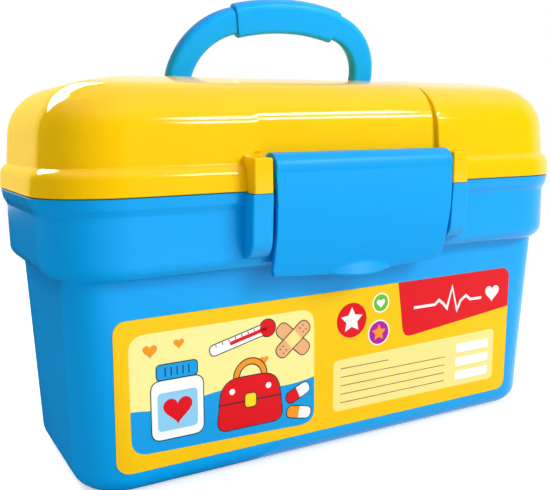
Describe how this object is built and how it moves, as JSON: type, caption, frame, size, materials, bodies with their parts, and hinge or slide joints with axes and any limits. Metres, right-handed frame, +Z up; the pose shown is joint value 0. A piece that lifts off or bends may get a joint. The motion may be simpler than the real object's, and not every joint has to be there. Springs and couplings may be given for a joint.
{
  "type": "toy doctor case",
  "caption": "Child's hinged plastic carrying case with a domed lid, a front latch and a folding handle, for holding toy instruments.",
  "frame": {"origin": "the middle of the flat base, under the middle of the tub", "axes": "+X to the case's right along its length, +Y to the back, +Z up"},
  "size_m": [0.26, 0.1391, 0.2033],
  "materials": {
    "tub_plastic": "glossy injection-moulded blue polypropylene",
    "lid_plastic": "glossy injection-moulded yellow polypropylene",
    "latch_plastic": "satin-gloss moulded blue polypropylene",
    "handle_plastic": "satin-gloss moulded blue polypropylene",
    "label_film": "printed and laminated sticker, mostly yellow",
    "pin_steel": "bright drawn wire"
  },
  "bodies": {
    "tub": {"tub_shell": "tub_plastic", "front_label": "label_film", "hinge_pin_left": "pin_steel", "hinge_pin_right": "pin_steel"},
    "lid": {"lid_shell": "lid_plastic", "latch_rod": "pin_steel", "handle_pin_left": "handle_plastic", "handle_pin_right": "handle_plastic"},
    "latch": {"latch_flap": "latch_plastic"},
    "handle": {"handle_bail": "handle_plastic", "handle_grip": "handle_plastic"}
  },
  "joints": [
    {"name": "lid_hinge", "type": "hinge", "parent": "tub", "child": "lid", "pos_m": [0, 0.0673, 0.11905], "axis": [-1, 0, 0], "range_deg": [0, 105]},
    {"name": "latch_hinge", "type": "hinge", "parent": "lid", "child": "latch", "pos_m": [0, -0.0614, 0.1281], "axis": [-1, 0, 0], "range_deg": [0, 110]},
    {"name": "handle_pivot", "type": "hinge", "parent": "lid", "child": "handle", "pos_m": [0, 0.0173, 0.1604], "axis": [1, 0, 0], "range_deg": [-45, 48]}
  ]
}
